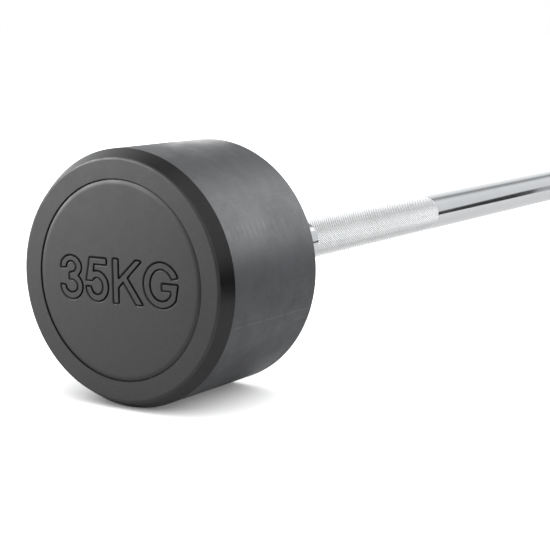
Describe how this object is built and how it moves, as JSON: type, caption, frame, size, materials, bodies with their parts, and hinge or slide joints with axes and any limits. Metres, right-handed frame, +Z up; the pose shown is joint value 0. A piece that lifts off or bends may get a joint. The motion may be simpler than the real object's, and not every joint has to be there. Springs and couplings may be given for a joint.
{
  "type": "fixed barbell",
  "caption": "Straight fixed barbell: a chromed bar with two knurled hand zones and a cylindrical rubber-cased steel head clamped on each end.",
  "frame": {"origin": "on the bar's axis, halfway between the two heads", "axes": "+X along the bar towards the right head, +Z up when the barbell lies on a floor, +Y to the back"},
  "size_m": [1.17, 0.17, 0.17],
  "materials": {
    "bar_chrome": "polished",
    "casing_rubber": "satin",
    "cap_rubber": "matte",
    "core_steel": "satin",
    "black_steel": "satin",
    "zinc_steel": "satin",
    "pin_steel": "satin"
  },
  "bodies": {
    "root": {"bar": "bar_chrome", "left_casing": "casing_rubber", "left_core": "core_steel", "left_end_cap": "cap_rubber", "left_clamp_bolt": "black_steel", "left_flat_washer": "zinc_steel", "left_spring_washer": "zinc_steel", "left_spring_pin_1": "pin_steel", "left_spring_pin_2": "pin_steel", "left_spring_pin_3": "pin_steel", "right_casing": "casing_rubber", "right_core": "core_steel", "right_end_cap": "cap_rubber", "right_clamp_bolt": "black_steel", "right_flat_washer": "zinc_steel", "right_spring_washer": "zinc_steel", "right_spring_pin_1": "pin_steel", "right_spring_pin_2": "pin_steel", "right_spring_pin_3": "pin_steel"}
  },
  "joints": []
}
